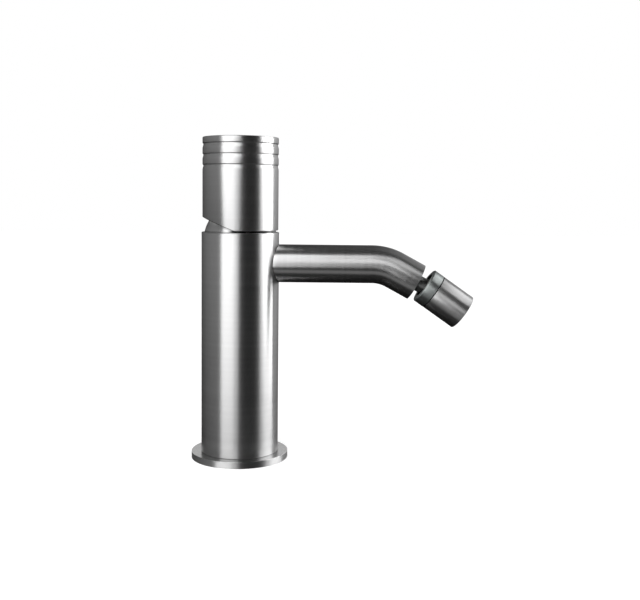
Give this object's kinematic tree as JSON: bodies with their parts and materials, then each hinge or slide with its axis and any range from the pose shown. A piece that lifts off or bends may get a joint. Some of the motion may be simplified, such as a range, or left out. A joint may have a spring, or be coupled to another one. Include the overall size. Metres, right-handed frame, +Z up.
{
  "type": "bidet mixer",
  "caption": "Single-lever bidet mixer: round column on a flange, turning and tilting grooved handle, bent side spout with a ball-jointed spray nozzle.",
  "frame": {"origin": "centre of the column on the deck, at the underside of the base flange", "axes": "+Z up along the column, +X from the column along the spout, +Y away from the picture's camera"},
  "size_m": [0.1462, 0.0502, 0.1663],
  "materials": {
    "brushed_steel": "fine brushed stainless steel",
    "polished_ball": "turned and polished steel",
    "brass": "machined brass",
    "steel_fixing": "plain stainless steel",
    "cartridge_plastic": "moulded white plastic",
    "dark_plastic": "moulded dark plastic",
    "ceramic": "lapped ceramic",
    "rubber": "black sealing rubber"
  },
  "bodies": {
    "body": {"base_flange": "brushed_steel", "base_gasket": "rubber", "flange_screws": "steel_fixing", "base_block": "brass", "body_shell": "brushed_steel", "hot_pipe": "steel_fixing", "cold_pipe": "steel_fixing", "pipe_o_rings": "rubber", "valve_core": "brass", "cartridge_housing": "cartridge_plastic", "housing_o_ring": "rubber", "cartridge_base": "cartridge_plastic", "port_seals": "rubber", "fixed_disc": "ceramic", "locking_ring": "brass", "dome_cap": "brushed_steel", "spout_tube": "brushed_steel", "spout_nipple": "brass", "spout_o_ring": "rubber", "spout_end_bush": "cartridge_plastic"},
    "rotor": {"cartridge_rotor": "cartridge_plastic", "lever_pin": "steel_fixing"},
    "handle": {"handle_sleeve": "brushed_steel", "handle_hub": "cartridge_plastic", "grub_screw": "steel_fixing", "index_plug": "brushed_steel", "lever_stem": "steel_fixing"},
    "mixing_disc": {"moving_disc": "ceramic", "disc_carrier": "dark_plastic"},
    "ball_stud": {"ball_stud": "polished_ball", "stud_clip": "steel_fixing", "stud_o_ring": "rubber"},
    "nozzle": {"swivel_collar": "brushed_steel", "nozzle_housing": "brushed_steel", "ball_seat_ring": "cartridge_plastic", "ball_o_ring": "rubber", "aerator_washer": "rubber", "aerator_cage": "dark_plastic", "aerator_diffuser": "dark_plastic", "outlet_grid": "dark_plastic"}
  },
  "joints": [
    {"name": "handle_turn", "type": "hinge", "parent": "body", "child": "rotor", "pos_m": [0, 0, 0.114], "axis": [0, 0, 1], "range_deg": [-40, 40]},
    {"name": "handle_tilt", "type": "hinge", "parent": "rotor", "child": "handle", "pos_m": [0, 0, 0.114], "axis": [0, -1, 0], "range_deg": [0, 18]},
    {"name": "disc_slide", "type": "slide", "parent": "rotor", "child": "mixing_disc", "axis": [1, 0, 0], "range_m": [0, 0.00433]},
    {"name": "ball_spin", "type": "hinge", "parent": "body", "child": "ball_stud", "pos_m": [0.10071, 0, 0.0876], "axis": [0.8788, 0, -0.4772], "continuous": true},
    {"name": "nozzle_tilt", "type": "hinge", "parent": "ball_stud", "child": "nozzle", "pos_m": [0.10071, 0, 0.0876], "axis": [0, 1, 0], "range_deg": [-24.5, 11.5]}
  ],
  "couplings": [
    {"joint": "disc_slide", "follows": "handle_tilt", "m_per_rad": 0.01377}
  ]
}
